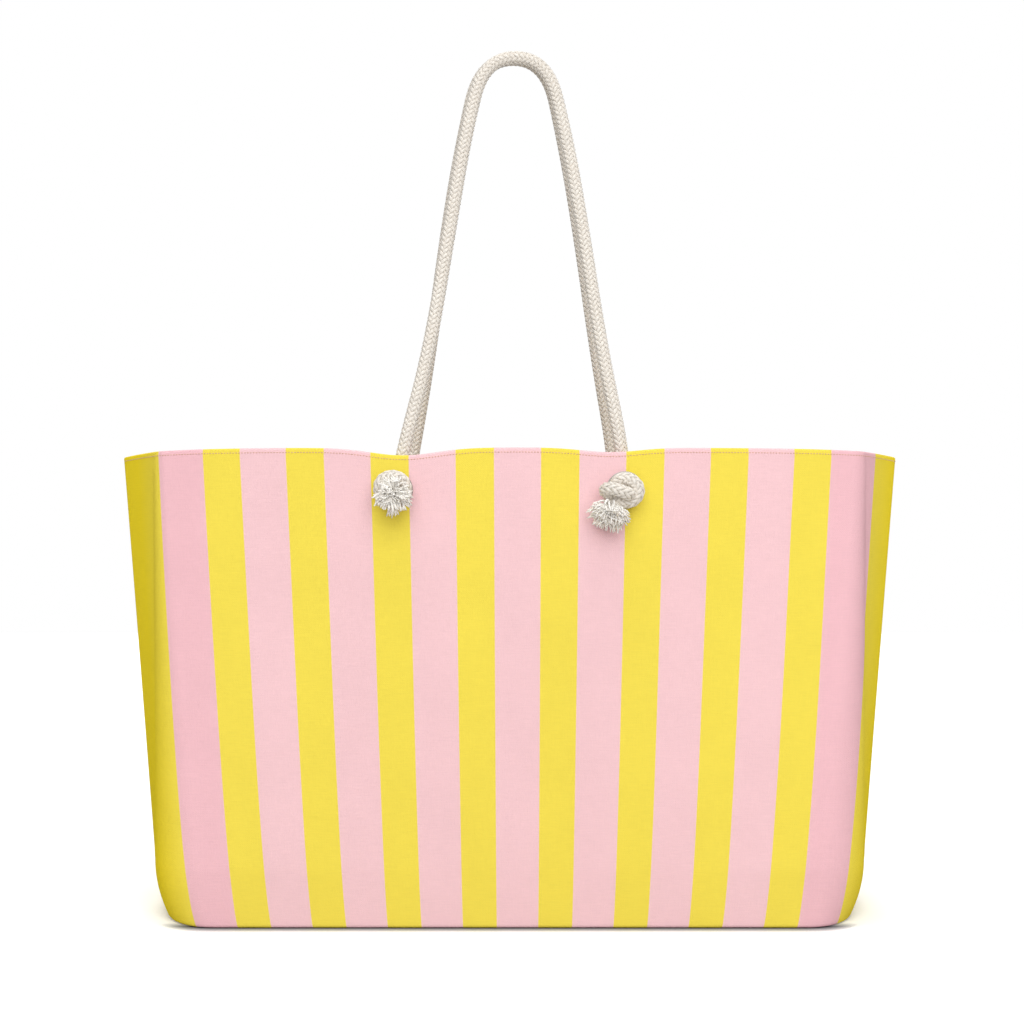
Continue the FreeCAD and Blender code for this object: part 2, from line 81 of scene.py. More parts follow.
# %% Lights
KEY_WATTS = 46.0
KEY_PLACE = (0.2, -2.2, 1.3)
KEY_SIZE = 2.3
BACK_WATTS = 26.0
BACK_PLACE = (-0.5, 2.3, 1.3)
BACK_SIZE = 2.0
TOP_STRENGTH = 1.3
TOP_PLACE = (0, -0.15, 2)
TOP_SOFTNESS = np.radians(50)
SKY_LIGHT = 0.34
BAG_MIDDLE = (0, 0, 0.25)
WHITE = (1, 1, 1, 1)


def aimed_light(name, kind, place, target, strength):
    """A light at place, turned towards target; a sun only takes the direction from them."""
    data = bpy.data.lights.new(name, kind)
    data.energy = strength
    light = bpy.data.objects.new(name, data)
    light.location = place
    aim = Vector(target) - Vector(place)
    light.rotation_euler = aim.to_track_quat("-Z", "Y").to_euler()
    bpy.context.collection.objects.link(light)
    return data


aimed_light("key_light", "AREA", KEY_PLACE, BAG_MIDDLE, KEY_WATTS).size = KEY_SIZE
aimed_light("back_light", "AREA", BACK_PLACE, BAG_MIDDLE, BACK_WATTS).size = BACK_SIZE
aimed_light("top_light", "SUN", TOP_PLACE, (0, 0, 0), TOP_STRENGTH).angle = TOP_SOFTNESS
print("three lights")

# %% Sky
world = bpy.data.worlds.new("studio")
bpy.context.scene.world = world
world.use_nodes = True
sky = world.node_tree.nodes["Background"]
sky.inputs["Strength"].default_value = SKY_LIGHT
backdrop = world.node_tree.nodes.new("ShaderNodeBackground")
path = world.node_tree.nodes.new("ShaderNodeLightPath")
either = world.node_tree.nodes.new("ShaderNodeMixShader")
links = world.node_tree.links
links.new(path.outputs["Is Camera Ray"], either.inputs["Fac"])
links.new(sky.outputs["Background"], either.inputs[1])
links.new(backdrop.outputs["Background"], either.inputs[2])
links.new(either.outputs["Shader"], world.node_tree.nodes["World Output"].inputs["Surface"])
for shade in (sky, backdrop):
    shade.inputs["Color"].default_value = WHITE
print("an even sky of strength", SKY_LIGHT, "before a white backdrop")

# %% [markdown]
# ## Small tools
# Every new piece is a surface on a grid. One helper puts points and four-sided faces into a mesh, with
# a UV map in metres of cloth or yarn, and one builds a material from named nodes. A round piece, such
# as a yarn or a stitch, is a ring carried along a line, and many lines are swept at once.

# %% Mesh and sweep helpers
def grid_faces(rows, columns):
    """The four corners of each face of a grid of points, row after row, as one array."""
    corner = np.arange((rows - 1) * columns).reshape(rows - 1, columns)[:, :-1].ravel()
    return np.stack([corner, corner + 1, corner + columns + 1, corner + columns], axis=1)


def new_piece(name, points, faces, uv, material, body="bag", slot=None, **attributes):
    """A smooth mesh piece. uv has one pair for each corner of each face, in metres."""
    mesh = bpy.data.meshes.new(name)
    mesh.from_pydata(points.reshape(-1, 3), [], faces.tolist())
    layer = mesh.uv_layers.new(name="cloth")
    layer.uv.foreach_set("vector", np.asarray(uv, np.float32).ravel())
    for title, values in attributes.items():
        mesh.attributes.new(title, "FLOAT", "POINT").data.foreach_set("value", values.ravel())
    mesh.shade_smooth()
    mesh.materials.append(material)
    piece = bpy.data.objects.new(name, mesh)
    bpy.context.collection.objects.link(piece)
    if body:
        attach(piece, body)
    return piece


def unit(vectors):
    """Vectors of length one."""
    return vectors / np.linalg.norm(vectors, axis=-1, keepdims=True)


def swept(lines, normals, half_width, half_height, sides=6):
    """Oval rings carried along lines: point = line + width cos(a) side + height sin(a) normal.

    lines and normals are (count, rings, 3), sides is even and the ends are closed flat. Gives
    points, faces and a UV with the way round and the way along, both in metres."""
    count, rings = lines.shape[:2]
    along = unit(np.gradient(lines, axis=1))
    side = unit(np.cross(along, normals))
    upward = np.cross(side, along)
    angle = np.arange(sides) / sides * 2 * np.pi
    wide = np.broadcast_to(half_width, (count, rings))[..., None, None]
    high = np.broadcast_to(half_height, (count, rings))[..., None, None]
    points = (lines[:, :, None] + np.cos(angle)[:, None] * wide * side[:, :, None]
              + np.sin(angle)[:, None] * high * upward[:, :, None])
    step = np.arange(rings - 1)[:, None] * sides
    turn = np.arange(sides)
    after = (turn + 1) % sides
    quads = np.stack([step + turn, step + sides + turn, step + sides + after, step + after], 2)
    lid = np.array([(0, k, k + 1, k + 2) for k in range(1, sides - 1, 2)])
    last = lid[:, ::-1] + (rings - 1) * sides
    one = np.concatenate([quads.reshape(-1, 4), lid, last])
    faces = (one + np.arange(count)[:, None, None] * rings * sides).reshape(-1, 4)
    reach = np.cumsum(np.linalg.norm(np.diff(lines, axis=1, prepend=lines[:, :1]), axis=2), axis=1)
    girth = float(np.mean(wide + high)) * np.pi
    around = np.stack([turn, turn, turn + 1, turn + 1], 1) / sides * girth
    low, high_end = reach[:, :-1], reach[:, 1:]
    u = np.broadcast_to(around, (count, rings - 1, sides, 4))
    v = np.broadcast_to(np.stack([low, high_end, high_end, low], 2)[:, :, None], u.shape)
    tube_uv = np.stack([u, v], -1).reshape(count, -1, 2)
    uv = np.concatenate([tube_uv, np.zeros((count, 8 * len(lid), 2))], 1)
    return points.reshape(-1, 3), faces, uv.reshape(-1, 2)


print("helpers ready")

# %% Material helper
def srgb(red, green, blue):
    """A colour given as 0 to 255 steps of a screen, as the linear colour that shaders take."""
    share = np.array([red, green, blue]) / 255
    linear = np.where(share <= 0.04045, share / 12.92, ((share + 0.055) / 1.055) ** 2.4)
    return (*linear, 1.0)


class Finish:
    """A node material under construction: node() adds a node and links its inputs by name."""

    def __init__(self, name, roughness, sheen=0.0, metallic=0.0):
        self.material = bpy.data.materials.new(name)
        self.material.use_nodes = True
        self.tree = self.material.node_tree
        self.shader = self.tree.nodes["Principled BSDF"]
        self.shader.inputs["Roughness"].default_value = roughness
        self.shader.inputs["Sheen Weight"].default_value = sheen
        self.shader.inputs["Metallic"].default_value = metallic
        self.shader.inputs["Specular IOR Level"].default_value = 0.5 if roughness < 0.6 else 0.0

    def node(self, kind, inputs=None, **settings):
        """A node whose inputs are numbers, colours or other nodes' outputs."""
        made = self.tree.nodes.new("ShaderNode" + kind)
        for key, value in settings.items():
            setattr(made, key, value)
        for key, value in (inputs or {}).items():
            if isinstance(value, bpy.types.NodeSocket):
                self.tree.links.new(value, made.inputs[key])
            else:
                made.inputs[key].default_value = value
        return made

    def maths(self, operation, first, second=0.5):
        """One sum, product or other operation on two numbers or outputs."""
        return self.node("Math", {0: first, 1: second}, operation=operation).outputs[0]

    def placed(self, scale, uv=True):
        """Cloth coordinates, or the object's own, scaled to so many repeats in a metre."""
        source = self.node("TexCoord").outputs["UV" if uv else "Object"]
        return self.node("Mapping", {"Vector": source, "Scale": scale}).outputs[0]

    def noise(self, scale, detail=2.0, uv=True):
        """Cloudy noise with so many clouds in a metre each way, from 0 to 1."""
        return self.node("TexNoise", {"Vector": self.placed(scale, uv), "Scale": 1.0,
                                      "Detail": detail}).outputs["Fac"]

    def blend(self, share, low, high):
        """A colour between two colours; share is 0 for low and 1 for high."""
        mix = self.node("Mix", data_type="RGBA")
        for socket, value in ((mix.inputs[0], share), (mix.inputs[6], low), (mix.inputs[7], high)):
            if isinstance(value, bpy.types.NodeSocket):
                self.tree.links.new(value, socket)
            else:
                socket.default_value = value
        return mix.outputs[2]

    def finish(self, colour, height=None, depth=0.0):
        """Colour and relief to the shader; depth is the relief's height in metres."""
        self.tree.links.new(colour, self.shader.inputs["Base Color"])
        if height is not None:
            bump = self.node("Bump", {"Height": height, "Distance": depth})
            self.tree.links.new(bump.outputs[0], self.shader.inputs["Normal"])
        return self.material


print("material helper ready")

# %% [markdown]
# ## The floor
# The floor is staging, not a part of the bag. To light that bounces off it, it is a middling grey, so
# it doesn't flood the cloth. To the camera it is white and glows a little. A painted contact shadow, a
# thin dark line, shows where the base meets it: the ambient occlusion node tells how open the space
# over a point is, and the colour and glow fall with it, but only in front of the base, in the object's
# own coordinates.

# %% Floor
FLOOR_GREY = (0.45, 0.45, 0.45, 1)
FLOOR_GLOW = 0.14
FLOOR_REACH = 2.6
GAP_REACH = 12 * MM
GAP_DEPTH = 3.0
GAP_BACK = -58 * MM
GAP_FRONT = -68 * MM

floor_finish = Finish("pale floor", 0.9)
ray = floor_finish.node("LightPath").outputs["Is Camera Ray"]
# Painted contact shadow: the floor's colour and glow darken where the space over it is closed in, just
# in front of the base.
openness = floor_finish.node("AmbientOcclusion", {"Distance": GAP_REACH}).outputs["AO"]
closed = floor_finish.maths("SUBTRACT", 1.0, floor_finish.maths("POWER", openness, GAP_DEPTH))
spot = floor_finish.node("SeparateXYZ", {"Vector": floor_finish.placed((1, 1, 1), uv=False)})
forward = floor_finish.node("MapRange", {"Value": spot.outputs["Y"], "From Min": GAP_BACK,
                                         "From Max": GAP_FRONT}).outputs[0]
contact_shade = floor_finish.maths("SUBTRACT", 1.0, floor_finish.maths("MULTIPLY", closed, forward))
floor_material = floor_finish.finish(floor_finish.blend(ray, FLOOR_GREY, contact_shade))
floor_finish.shader.inputs["Emission Color"].default_value = WHITE
glow = floor_finish.maths("MULTIPLY", floor_finish.maths("MULTIPLY", ray, contact_shade), FLOOR_GLOW)
floor_finish.tree.links.new(glow, floor_finish.shader.inputs["Emission Strength"])
corners = np.array([(-1, -1, 0), (1, -1, 0), (1, 1, 0), (-1, 1, 0)]) * FLOOR_REACH
floor_mesh = bpy.data.meshes.new("floor")
floor_mesh.from_pydata(corners, [], [(0, 1, 2, 3)])
floor_mesh.materials.append(floor_material)
floor = bpy.data.objects.new("floor", floor_mesh)
bpy.context.collection.objects.link(floor)
print("floor", 2 * FLOOR_REACH, "m wide")

# %% [markdown]
# ## The cotton rope
# Each handle is one length of 10 mm braided cotton rope. It leaves a knot outside the bag, goes in
# through an eyelet, up inside the rim, over the top and down to the other knot. A plain tube would
# show none of this, so the rope is braided from 16 strands: eight wind one way and eight the other,
# each going over two and under two, and that makes the columns of small V shapes.

# %% Rope routes
RIM_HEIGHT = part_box("front_panel")[1].z
ROPE_DIAMETER = 10 * MM
ROUTE_STEPS = 24
ROUTES_MM = {
    "front": ((-80, -75, -24), (-80, -52, -24), (-73.5, -55, 8), (-56.5, -43, 76),
              (-41.5, -25.5, 174), (-32, -15.3, 234), (-18.5, -5.6, 293), (27, -5.6, 293),
              (41, -15.3, 234), (51, -25.5, 174), (65, -43, 76), (78.5, -55, 8),
              (80, -52, -24), (80, -75, -24)),
    "back": ((-80, 75, -24), (-80, 52, -24), (-73.5, 55, 8), (-61.5, 43, 76),
             (-47, 25.5, 174), (-36, 15.3, 234), (-21.5, 5.6, 295), (26.5, 5.6, 295),
             (40.5, 15.3, 234), (51.5, 25.5, 174), (66.5, 43, 76), (79, 55, 8),
             (80, 52, -24), (80, 75, -24)),
}


def smooth_line(points):
    """The points that a smooth spline with these control points runs through, in metres."""
    curve = bpy.data.curves.new("route", "CURVE")
    curve.dimensions = "3D"
    curve.resolution_u = ROUTE_STEPS
    spline = curve.splines.new("NURBS")
    spline.points.add(len(points) - 1)
    weighted = np.column_stack([points, np.ones(len(points))])
    spline.points.foreach_set("co", weighted.ravel())
    spline.order_u = 3
    spline.use_endpoint_u = True
    holder = bpy.data.objects.new("route", curve)
    mesh = bpy.data.meshes.new_from_object(holder)
    line = np.empty(len(mesh.vertices) * 3)
    mesh.vertices.foreach_get("co", line)
    return line.reshape(-1, 3)


def evenly(line, step):
    """The same line with points every step of its length, and those lengths."""
    reach = np.append(0, np.cumsum(np.linalg.norm(np.diff(line, axis=0), axis=1)))
    wanted = np.linspace(0, reach[-1], int(round(reach[-1] / step)) + 1)
    return np.column_stack([np.interp(wanted, reach, line[:, k]) for k in range(3)]), wanted


HANDLE_LINES = {}
for word, route in ROUTES_MM.items():
    HANDLE_LINES[word] = smooth_line(np.array(route) * MM + (0, 0, RIM_HEIGHT))
    print(word, "rope", round(evenly(HANDLE_LINES[word], MM)[1][-1], 4), "m")

# %% Braid
STRANDS = 8
STRAND_SIDES = 6
CORE_SIDES = 10
BRAID_PITCH = 3.8 * MM
STRAND_HALF_WIDTH = 1.36 * MM
STRAND_HALF_HEIGHT = 0.78 * MM
BRAID_WAVE = 0.52 * MM
BRAID_STEP = 0.85 * MM


def carried_normals(line, first):
    """A normal at each point of a line, carried along it with no twist."""
    along = unit(np.gradient(line, axis=0))
    normals = [unit(first - along[0] * np.dot(first, along[0]))]
    for direction in along[1:]:
        flat = normals[-1] - direction * np.dot(normals[-1], direction)
        normals.append(unit(flat))
    return along, np.array(normals)


def braided(line, first_normal, shrink=1.0):
    """A round braid along a line: swept strands and a core. Gives points, faces, UV and how deep each
    point lies, for painted shade.

    A strand's angle is its number's share of a turn plus or minus the way along over the pitch.
    Its distance from the middle is radius + wave cos(quarter turns), one way up and the other
    way down, where a quarter turn is one crossing, so each strand goes over two and under two.
    The depth it gives is 0 where a point lies deepest and 1 where it stands out; the cotton finish
    paints shade with it on the deep points."""
    line, reach = evenly(line, BRAID_STEP)
    along, normal = carried_normals(line, np.array(first_normal, float))
    across = np.cross(along, normal)
    number = np.arange(STRANDS)[:, None] / STRANDS * 2 * np.pi
    turn = reach / (STRANDS * BRAID_PITCH) * 2 * np.pi
    middle = ROPE_DIAMETER / 2 - STRAND_HALF_HEIGHT - BRAID_WAVE
    lines, ups, lifts = [], [], []
    for way in (1, -1):
        angle = number + way * turn
        lift = way * np.cos(np.pi / 2 * (angle * STRANDS / np.pi - 0.5))
        radius = (middle + BRAID_WAVE * lift) * shrink
        outward = np.cos(angle)[..., None] * normal + np.sin(angle)[..., None] * across
        lines.append(line + outward * radius[..., None])
        ups.append(outward)
        lifts.append(lift)
    lines, ups, lifts = (np.concatenate(parts) for parts in (lines, ups, lifts))
    strands = swept(lines, ups, STRAND_HALF_WIDTH * shrink, STRAND_HALF_HEIGHT * shrink,
                    STRAND_SIDES)
    core_radius = (middle - BRAID_WAVE) * shrink
    core = swept(line[None, ::3], normal[None, ::3], core_radius, core_radius, CORE_SIDES)
    groove = np.repeat(lifts.ravel(), STRAND_SIDES) * 0.5 + 0.5
    points = np.concatenate([strands[0], core[0]])
    faces = np.concatenate([strands[1], core[1] + len(strands[0])])
    uv = np.concatenate([strands[2], core[2]])
    return points, faces, uv, np.append(groove, np.zeros(len(core[0])))

# %% [markdown]
# Raw cotton is a warm off-white with no shine and a little fuzz. The braid stores how deep each point
# lies and the finish darkens with it: painted shade in the grooves between the strands. Long thin noise
# along the yarn is the fibre, and slow noise in the object's own coordinates is the uneven bleaching.

# %% Cotton
FLECK_SHARE = 0.35

cotton = Finish("braided cotton", 0.92, sheen=0.25)
worn = cotton.noise((900, 120, 1), 3.0)
fibres = cotton.noise((5200, 420, 1), 2.0)
cloudy = cotton.noise((60, 60, 60), 2.0, uv=False)
# Painted shade: the cotton is darker where a strand lies deep in the braid, in the grooves between
# strands.
depth = cotton.node("Attribute", attribute_name="groove").outputs["Fac"]
pale = cotton.blend(cloudy, srgb(236, 228, 218), srgb(249, 244, 236))
shaded = cotton.blend(depth, srgb(198, 187, 172), pale)
flecked = cotton.blend(cotton.maths("MULTIPLY", worn, FLECK_SHARE), shaded, srgb(230, 222, 209))
rope_material = cotton.finish(flecked, fibres, 0.25 * MM)
print("rope finish", rope_material.name)

# %% [markdown]
# A handle is one rope; below the rim it stays with the bag and above it a real one folds over, bending
# over a few centimetres. Here each handle is braided as one piece along its whole route, and the
# imported legs and handle are hidden.

# %% Handles
SIDES = {"front": 1, "back": -1}
for word, line in HANDLE_LINES.items():
    points, faces, uv, groove = braided(line, (0, 0, 1))
    handle = new_piece(word + "_rope", points, faces, uv, rope_material, None, "rope_cotton",
                       groove=groove)
    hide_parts(word + "_left_leg", word + "_right_leg", word + "_handle")
    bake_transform(handle)
    print(handle.name, "triangles", 2 * len(faces))

# %% [markdown]
# ## Knots
# Outside each eyelet the rope is tied in a tight overhand knot that is too big to slip back. Its route
# is listed like a cord's: across, up and out from the middle of the eyelet, in millimetres. Two knots
# hang their end down and to the side, and two push it straight at the viewer under an arch of rope. The
# back of the bag is the front turned half round.

# %% Knots
KNOTS_MM = {
    "hanging": ((0, 0, 3), (-1, -2, 8), (-9, -4.5, 8.5), (-15.5, -0.5, 12), (-12, 1.4, 18.5),
                (-5, -0.5, 20.5), (2.2, -3.2, 17.5), (2, -3.5, 10.5), (-3, 1.5, 7), (-7, 5, 9),
                (-3.8, 7.4, 11.5), (1.5, 7.8, 12.5), (8, 3.4, 12.5), (8.4, -3.4, 12),
                (4, -8, 11.5), (-3, -8.4, 11), (-8.5, -9.2, 11), (-10.5, -12, 11.5)),
    "facing": ((0, 0, 3), (3, -2, 7), (7.5, -4, 8), (9, 1, 11), (6.5, 7.4, 12.5), (-1, 9.8, 13),
               (-8.2, 6.4, 12.5), (-9.4, -1, 11), (-6.5, -6.5, 9.5), (0, -8, 9), (5, -5, 10),
               (3.2, -3, 13), (0.5, -2.5, 16.5)),
}
KNOT_SHRINK = 0.95
KNOT_PLACES = {"front_left": "facing", "front_right": "hanging",
               "back_right": "facing", "back_left": "hanging"}


def from_eyelet(place, offsets):
    """Points given as across, up and out from the eyelet's outer face, put in the bag's frame."""
    low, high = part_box(place + "_eyelet")
    side = SIDES[place.split("_")[0]]
    face = (low if side == 1 else high).y
    across, up, out = np.moveaxis(np.asarray(offsets, float), -1, 0)
    return np.stack([(low.x + high.x) / 2 + side * across, face - side * out,
                     (low.z + high.z) / 2 + up], -1)


KNOT_PIECES = {}
for place, kind in KNOT_PLACES.items():
    route = from_eyelet(place, np.array(KNOTS_MM[kind]) * MM)
    points, faces, uv, groove = braided(smooth_line(route), (1, 0, 0), KNOT_SHRINK)
    knot = new_piece(place + "_rope_knot", points, faces, uv, rope_material, "bag",
                     "rope_cotton", groove=groove)
    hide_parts(place + "_knot")
    KNOT_PIECES[place] = [knot]
    print(knot.name, "triangles", 2 * len(faces))

# %% [markdown]
# ## Frayed ends
# Past the knot the braid comes undone. Tufts of soft yarn lean away from the end of the rope, each
# tuft made of several thin tapering yarns that droop and wander a little.

# %% Frayed ends
TUFTS = 42
YARNS = 7
YARN_RINGS = 8
YARN_RADIUS = 0.95 * MM
LEAN = {"hanging": (-0.25, -0.85, 0.38), "facing": (0.0, -0.18, 0.90)}
SPREAD = {"hanging": 1.12, "facing": 1.50}
REACH = {"hanging": 14.5 * MM, "facing": 11.6 * MM}
DROOP = 0.12
LOOSE = 0.16
WANDER = 0.14
TUFT_TURN = 2.4
END_RADIUS = 3.6 * MM
YARN_FACING = (0.31, 0.22, 0.93)
FIRST_SEED = 20


def frayed(kind, seed):
    """Yarns as lines across, up and out: start + reach (way along heading + droop + wander).

    Tufts are laid out like seeds in a sunflower: each a fixed turn on from the one before, at an
    angle from the axis that grows with the root of its number."""
    rng = np.random.default_rng(seed)
    axis = unit(np.array(LEAN[kind]))
    first = unit(np.cross(axis, (0, 0, 1)))
    second = np.cross(axis, first)
    turn = np.arange(TUFTS) * TUFT_TURN + rng.normal(0, 0.2, TUFTS)
    lean = SPREAD[kind] * np.sqrt((np.arange(TUFTS) + 0.5) / TUFTS)
    round_axis = np.cos(turn)[:, None] * first + np.sin(turn)[:, None] * second
    heading = np.cos(lean)[:, None] * axis + np.sin(lean)[:, None] * round_axis
    start = round_axis * (np.sin(lean) * END_RADIUS)[:, None]
    tuft_reach = REACH[kind] * rng.uniform(0.82, 1.06, TUFTS)
    heading = unit(heading[:, None] + rng.normal(0, LOOSE, (TUFTS, YARNS, 3)))
    start = start[:, None] + rng.normal(0, 0.45 * MM, (TUFTS, YARNS, 3))
    reach = tuft_reach[:, None] * rng.uniform(0.7, 1.05, (TUFTS, YARNS))
    way = np.linspace(0, 1, YARN_RINGS)[:, None]
    wander = rng.normal(0, WANDER, (TUFTS, YARNS, 1, 3)) * np.sin(np.pi * way) ** 2
    down = np.array((0, -DROOP, 0)) * way ** 2
    lines = start[..., None, :] + reach[..., None, None] * (way * heading[..., None, :]
                                                           + wander + down)
    taper = YARN_RADIUS * (1 - 0.55 * way[:, 0] ** 3) * rng.uniform(0.7, 1.1, (TUFTS * YARNS, 1))
    return lines.reshape(-1, YARN_RINGS, 3), taper


loose_yarn = Finish("loose cotton yarn", 0.95, sheen=0.1)
fluff = loose_yarn.noise((4200, 380, 1), 3.0)
yarn_material = loose_yarn.finish(loose_yarn.blend(fluff, srgb(250, 245, 237), srgb(255, 253, 249)),
                                  fluff, 0.15 * MM)

for index, (place, kind) in enumerate(KNOT_PLACES.items()):
    lines, taper = frayed(kind, FIRST_SEED + index)
    end = np.array(KNOTS_MM[kind][-1]) * MM
    lines = from_eyelet(place, lines + end)
    points, faces, uv = swept(lines, np.broadcast_to(YARN_FACING, lines.shape), taper, taper, 4)
    end_piece = new_piece(place + "_yarn_end", points, faces, uv, yarn_material, "bag",
                          "frayed_cotton")
    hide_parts(place + "_frayed_end")
    KNOT_PIECES[place].append(end_piece)
    print(end_piece.name, "triangles", 2 * len(faces))

# %% [markdown]
# A rope is a fixed length of something flexible. Each knot and the frayed end beyond it are gathered in
# one list, by the eyelet they sit at.

# %% [markdown]
# ## The shape of the bag
# Every layer of cloth follows one shape. Low down the outline is a rectangle with round corners; it
# swells a little above the floor and runs up to the rim, where the front bows out between two creases
# and the sides slant in to the seams. All layers come from one function of the way round, the height
# and how far the layer lies inside the canvas, so that none pokes through another.

# %% Outline
RIM_HALF_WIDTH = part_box("front_panel")[1].x
HALF_DEPTH = -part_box("front_panel")[0].y
BASE_HALF_WIDTH = 250 * MM
BASE_CORNER = 45 * MM
BELLY_HEIGHT = 40 * MM
BELLY_HALF_WIDTH = 261 * MM
BELLY_CORNER = 48 * MM
RIM_HALF_DEPTH = 66 * MM
SIDE_SLANT = 7.5 * MM
CREASE = np.array((250, 44)) * MM
CREASE_SIDE = CREASE + np.array((3.0, -4.0)) * MM
CREASE_FRONT = CREASE + np.array((-5.0, 0.85)) * MM


def boxed_outline(t, half_width, radius, inset):
    """A rectangle with round corners, whose sides come out a little towards the seam. t is 0 to 1
    on the side, 1 to 2 round the corner and 2 to 3 along the front; from 3 it is mirrored."""
    s = np.minimum(t, 5 - t)
    angle = np.clip(s - 1, 0, 1) * np.pi / 2
    across = half_width - radius + (radius - inset - SIDE_SLANT) * np.cos(angle)
    across = across * np.clip(5 - 2 * s, 0, 1) + SIDE_SLANT * np.clip(1 - s, 0, 1)
    out = (HALF_DEPTH - radius) * np.clip(s, 0, 1) + (radius - inset) * np.sin(angle)
    return np.where(t > 2.5, -across, across), out


def rim_outline(t, inset):
    """The rim: a straight gusset, a crease rounded by a parabola and a front that is an arc."""
    s = np.minimum(t, 5 - t)
    side_end, corner, front_end = (
        (spot[0] - 0.5 * inset, spot[1] - 0.9 * inset)
        for spot in (CREASE_SIDE, CREASE, CREASE_FRONT))
    seam = RIM_HALF_WIDTH - 1.25 * inset
    on_side = np.clip(s, 0, 1)
    bend = np.clip(s - 1, 0, 1)
    across = seam + (side_end[0] - seam) * on_side
    out = side_end[1] * on_side
    curve = [(1 - bend) ** 2 * a + 2 * bend * (1 - bend) * b + bend ** 2 * c
             for a, b, c in zip(side_end, corner, front_end)]
    across = np.where(s > 1, curve[0], across)
    out = np.where(s > 1, curve[1], out)
    share = np.clip(5 - 2 * s, 0, 1)
    bow = RIM_HALF_DEPTH - inset - front_end[1]
    radius = (front_end[0] ** 2 + bow ** 2) / (2 * bow)
    arc = front_end[1] + bow - radius + np.sqrt(radius ** 2 - (front_end[0] * share) ** 2)
    across = np.where(s > 2, front_end[0] * share, across)
    out = np.where(s > 2, arc, out)
    return np.where(t > 2.5, -across, across), out


print("rim", round(2 * RIM_HALF_WIDTH, 3), "m wide,", round(RIM_HEIGHT, 3), "m high")

# %% [markdown]
# The canvas is stiff but not flat. The rim stands a few millimetres higher between the ropes than at
# them, where their weight pulls it down, and slow waves a millimetre or two deep run down the wall.
# The waves fade out round the eyelets, which sit flat, and towards the base.

# %% Soft form
LEFT_DIP = -74 * MM
RIGHT_DIP = 70 * MM
EYELET_ALONG = 80 * MM
EYELET_HEIGHT = RIM_HEIGHT - 24 * MM


def rim_lift(x):
    """Height added to the rim: a flat rise with two dips where the ropes hang."""
    rise = 4.8 * MM * (1 - (np.abs(x) / RIM_HALF_WIDTH) ** 7) + 0.8 * MM
    left = 5.4 * MM * np.exp(-((x - LEFT_DIP) / (32 * MM)) ** 2)
    right = 3.2 * MM * np.exp(-((x - RIGHT_DIP) / (28 * MM)) ** 2)
    return rise - left - right


def sway(x, z):
    """How far the wall stands out: a few sines across, stronger high up, calm at the eyelets."""
    share = np.clip(z / RIM_HEIGHT, 0, 1)
    waves = (1.3 * np.sin(x / (33 * MM) + 0.8) * share ** 2
             + 1.0 * np.sin(x / (21 * MM) + z / (70 * MM) + 2.1) * share * (1 - share) * 2
             + 0.7 * np.sin(x / (52 * MM) - z / (45 * MM)) * share)
    away = ((np.abs(x) - EYELET_ALONG) / (34 * MM)) ** 2 + ((z - EYELET_HEIGHT) / (40 * MM)) ** 2
    seam = np.clip((RIM_HALF_WIDTH - np.abs(x)) / (60 * MM), 0, 1)
    return waves * MM * (1 - np.exp(-away)) * seam


def wall(t, height, inset, side, soft=0.0):
    """Points of a layer: base, belly and rim outlines mixed by height, then waves and rim dips.

    Below the belly the mix is 1 - (1 - height)^2 and above it is even. soft adds to the inset."""
    t, height, inset = np.broadcast_arrays(t, height, inset + soft)
    base = boxed_outline(t, BASE_HALF_WIDTH, BASE_CORNER, inset)
    belly = boxed_outline(t, BELLY_HALF_WIDTH, BELLY_CORNER, inset)
    top = rim_outline(t, inset)
    low = 1 - (1 - np.clip(height / BELLY_HEIGHT, 0, 1)) ** 2
    up = np.clip((height - BELLY_HEIGHT) / (RIM_HEIGHT - BELLY_HEIGHT), 0, 1)
    x, y = ((a * (1 - low) + b * low) * (1 - up) + c * up for a, b, c in zip(base, belly, top))
    y = y + sway(x, height) * np.clip(y / (30 * MM), 0, 1)
    z = height + rim_lift(x) * np.clip((height / RIM_HEIGHT - 0.4) / 0.6, 0, 1) ** 2
    return np.stack([side * x, -side * y, z], -1)


print("rim lift at the two dips:", rim_lift(np.array([LEFT_DIP, RIGHT_DIP])).round(4), "m")

# %% [markdown]
# The stripes are printed before the cloth is cut, and the bag tapers, so they lean outwards on the
# sides. Working out where each point of the cloth lies in the print, and storing that as an
# attribute, keeps the edges sharp at any distance, which a painted picture wouldn't.

# %% Print
PRINT_MIDDLE = 5.5 * MM
BASE_PERIOD = 51.7 * MM
PERIOD_GAIN = 7.65 * MM
FLAT_AT_BASE = 220.5 * MM
FLAT_GAIN = 27.5 * MM
SLOW_AT_BASE = 0.33
SLOW_LOSS = 0.11
LAST_STRIPE = 4.7


def stripe(points, side):
    """Where the print is, in periods from the middle of the middle pink stripe.

    The period is 51.7 mm at the base and 59.4 mm at the rim. Past the crease, on the gusset, the
    print advances more slowly, and it stops within the last yellow stripe."""
    x = side * points[..., 0]
    share = np.clip(points[..., 2], 0, RIM_HEIGHT) / RIM_HEIGHT
    flat = FLAT_AT_BASE + FLAT_GAIN * share + PRINT_MIDDLE * np.sign(x) * (1 - share)
    past = np.maximum(np.abs(x) - flat, 0) * (SLOW_AT_BASE - SLOW_LOSS * share)
    drawn = np.sign(x) * (np.abs(x) - past)
    periods = (drawn - PRINT_MIDDLE) / (BASE_PERIOD + PERIOD_GAIN * share ** 0.75)
    return np.clip(periods, -LAST_STRIPE, LAST_STRIPE)


print("stripe period", BASE_PERIOD, "m at the base and", BASE_PERIOD + PERIOD_GAIN, "m at the rim")

# %% [markdown]
# ## Cloth
# Woven cotton shows its threads, a few thicker slubs along the weft and a faint unevenness of dye.
# The canvas is printed with pink and yellow stripes; the lining is plain cream. Both come from one
# material builder whose pattern follows the cloth's own UV map, in metres.

